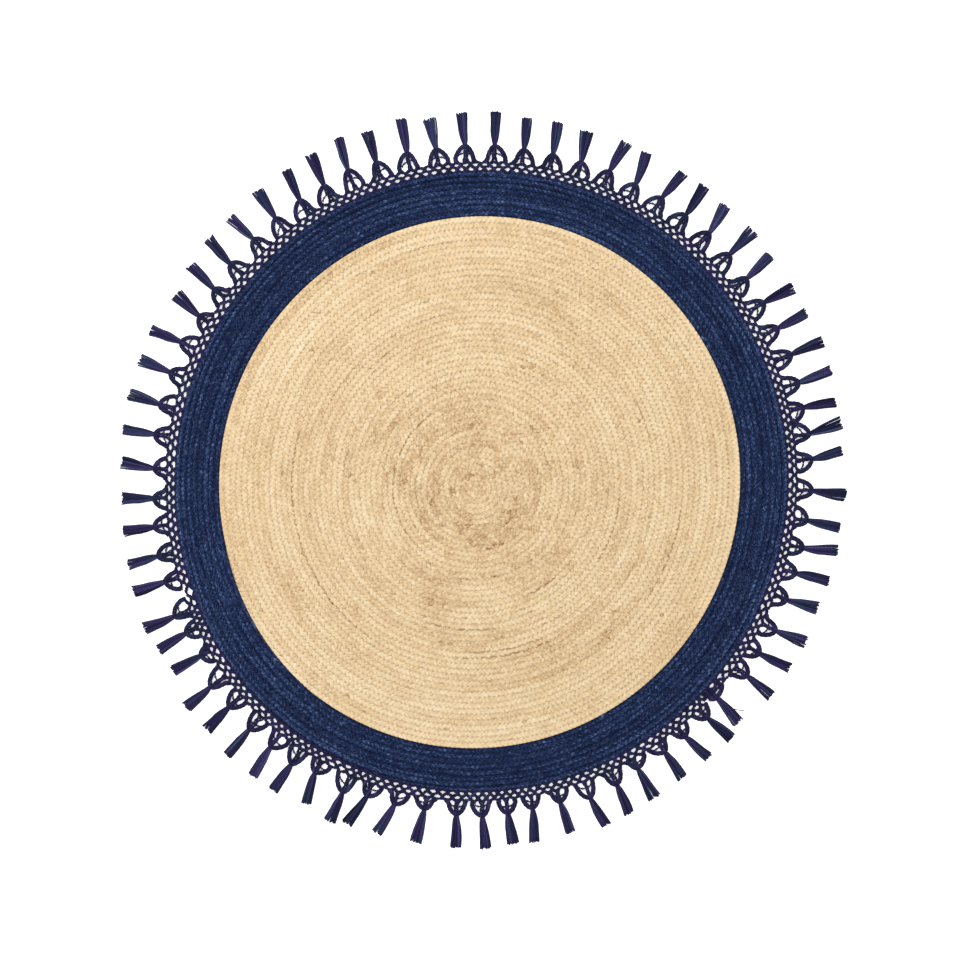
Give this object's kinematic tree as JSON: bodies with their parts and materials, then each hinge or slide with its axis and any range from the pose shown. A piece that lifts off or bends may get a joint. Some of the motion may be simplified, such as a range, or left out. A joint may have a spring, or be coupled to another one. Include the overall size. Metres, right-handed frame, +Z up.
{
  "type": "round braided jute rug with a tasselled trim",
  "caption": "Round flat rug of coiled jute braid, natural with a navy border, edged by a netted cotton trim whose loops are gathered into tassels.",
  "frame": {"origin": "middle of the underside, on the floor, at the centre of the border coil", "axes": "+Z up out of the rug's face; the braid coils outwards clockwise as seen from +Z"},
  "size_m": [1.1933, 1.211, 0.008],
  "materials": {
    "natural_jute": "matte undyed jute braid",
    "navy_jute": "matte navy-dyed jute braid",
    "navy_cotton": "matte navy cotton cord and yarn"
  },
  "bodies": {
    "root": {"natural_coil": "natural_jute", "navy_border_coil": "navy_jute", "long_tasselled_trim": "navy_cotton", "short_tasselled_trim": "navy_cotton"}
  },
  "joints": []
}
